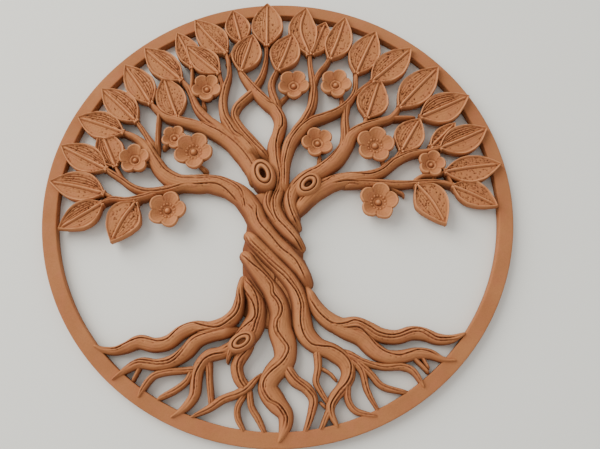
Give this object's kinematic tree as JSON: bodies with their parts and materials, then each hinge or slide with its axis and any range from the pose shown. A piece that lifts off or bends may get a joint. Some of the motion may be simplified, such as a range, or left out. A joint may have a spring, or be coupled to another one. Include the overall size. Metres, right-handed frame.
{
  "type": "tree of life wall plaque",
  "caption": "Round openwork terracotta plaque: a flowering tree with a twisted trunk, leafy boughs and wavy roots set inside a flat ring, to hang or stand as decoration.",
  "frame": {"origin": "centre of the ring on the flat back plane", "axes": "+Z out of the relief's face, +Y towards the crown of the tree, +X to the viewer's right"},
  "size_m": [0.2, 0.2, 0.0102],
  "materials": {
    "clay_ring": "matte unglazed terracotta clay, dry and slightly grainy, roughness about 0.8",
    "clay_leaves": "matte unglazed terracotta clay, dry and slightly grainy, roughness about 0.8",
    "clay_flowers": "matte unglazed terracotta clay, dry and slightly grainy, roughness about 0.8",
    "clay_knots": "matte unglazed terracotta clay, dry and slightly grainy, roughness about 0.8",
    "clay_boughs": "matte unglazed terracotta clay, dry and slightly grainy, roughness about 0.8",
    "clay_roots": "matte unglazed terracotta clay, dry and slightly grainy, roughness about 0.8"
  },
  "bodies": {
    "root": {"bough_centre": "clay_boughs", "bough_east": "clay_boughs", "bough_north": "clay_boughs", "bough_northeast": "clay_boughs", "bough_northwest": "clay_boughs", "bough_southeast": "clay_boughs", "bough_west": "clay_boughs", "flower_e1": "clay_flowers", "flower_e2": "clay_flowers", "flower_e3": "clay_flowers", "flower_e4": "clay_flowers", "flower_e5": "clay_flowers", "flower_e6": "clay_flowers", "flower_w1": "clay_flowers", "flower_w2": "clay_flowers", "flower_w3": "clay_flowers", "flower_w4": "clay_flowers", "flower_w5": "clay_flowers", "knot_east": "clay_knots", "knot_root": "clay_knots", "knot_upper": "clay_knots", "leaf_e1": "clay_leaves", "leaf_e10": "clay_leaves", "leaf_e11": "clay_leaves", "leaf_e12": "clay_leaves", "leaf_e13": "clay_leaves", "leaf_e14": "clay_leaves", "leaf_e15": "clay_leaves", "leaf_e2": "clay_leaves", "leaf_e3": "clay_leaves", "leaf_e4": "clay_leaves", "leaf_e5": "clay_leaves", "leaf_e6": "clay_leaves", "leaf_e7": "clay_leaves", "leaf_e8": "clay_leaves", "leaf_e9": "clay_leaves", "leaf_top": "clay_leaves", "leaf_w1": "clay_leaves", "leaf_w10": "clay_leaves", "leaf_w11": "clay_leaves", "leaf_w12": "clay_leaves", "leaf_w13": "clay_leaves", "leaf_w14": "clay_leaves", "leaf_w15": "clay_leaves", "leaf_w2": "clay_leaves", "leaf_w3": "clay_leaves", "leaf_w4": "clay_leaves", "leaf_w5": "clay_leaves", "leaf_w6": "clay_leaves", "leaf_w7": "clay_leaves", "leaf_w8": "clay_leaves", "leaf_w9": "clay_leaves", "ring": "clay_ring", "root_centre": "clay_roots", "root_east": "clay_roots", "root_southeast": "clay_roots", "root_southwest": "clay_roots", "root_west": "clay_roots"}
  },
  "joints": []
}
